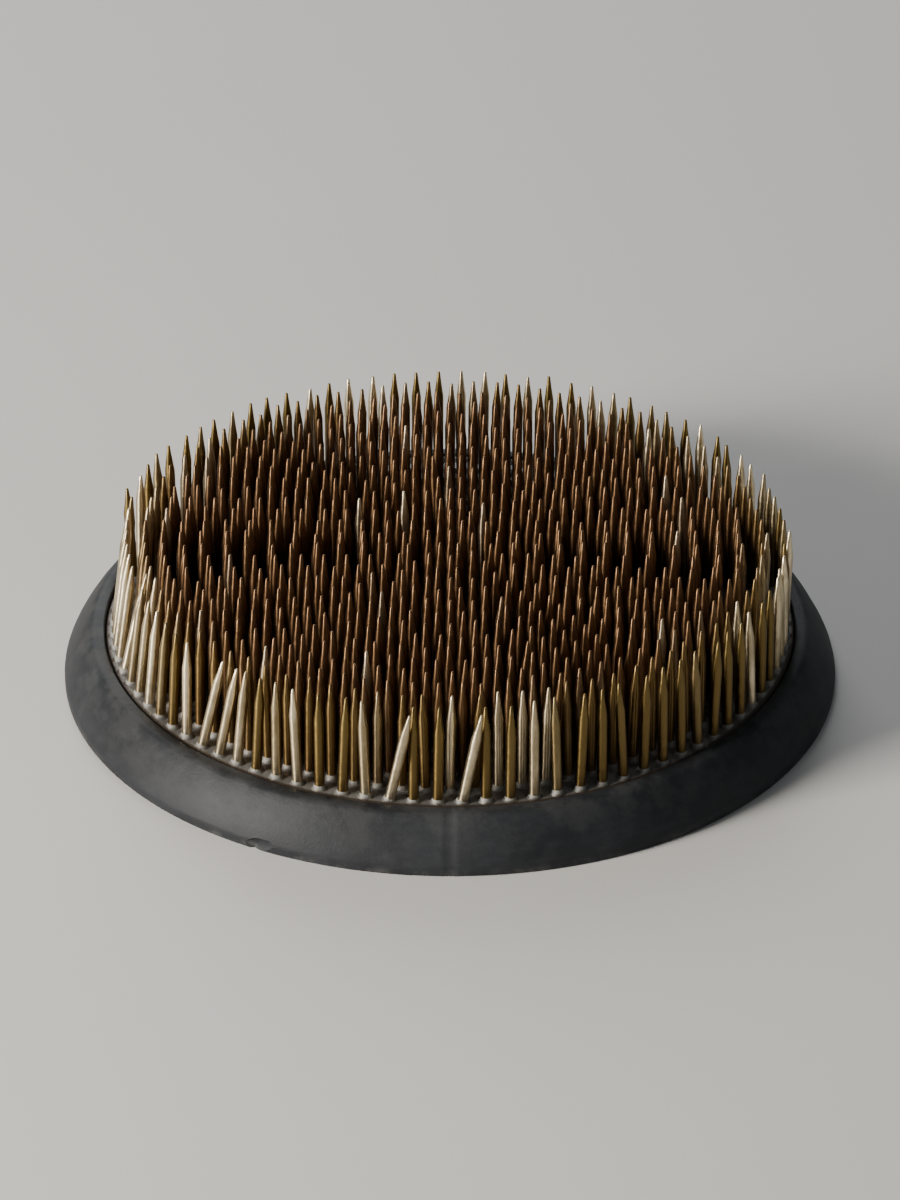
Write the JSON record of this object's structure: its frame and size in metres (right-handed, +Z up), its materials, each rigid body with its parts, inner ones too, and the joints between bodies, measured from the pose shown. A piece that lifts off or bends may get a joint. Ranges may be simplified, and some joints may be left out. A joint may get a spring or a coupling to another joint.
{
  "type": "flower frog",
  "caption": "Round flower frog: a soft-metal casting full of upright pointed brass pins, with a rubber ring stretched round its rim.",
  "frame": {"origin": "middle of the underside, on the surface that the rubber ring rests on", "axes": "+Z up along the pins; -Y towards the front, where the rubber's two ends meet; +X to the right seen from the front"},
  "size_m": [0.092, 0.092, 0.0189],
  "materials": {
    "lead": "matte",
    "rubber": "matte",
    "brass": "satin"
  },
  "bodies": {
    "root": {"base_casting": "lead", "rubber_ring": "rubber", "middle_pin": "brass", "pin_circle_01": "brass", "pin_circle_02": "brass", "pin_circle_03": "brass", "pin_circle_04": "brass", "pin_circle_05": "brass", "pin_circle_06": "brass", "pin_circle_07": "brass", "pin_circle_08": "brass", "pin_circle_09": "brass", "pin_circle_10": "brass", "pin_circle_11": "brass", "pin_circle_12": "brass", "pin_circle_13": "brass", "pin_circle_14": "brass", "pin_circle_15": "brass"}
  },
  "joints": []
}
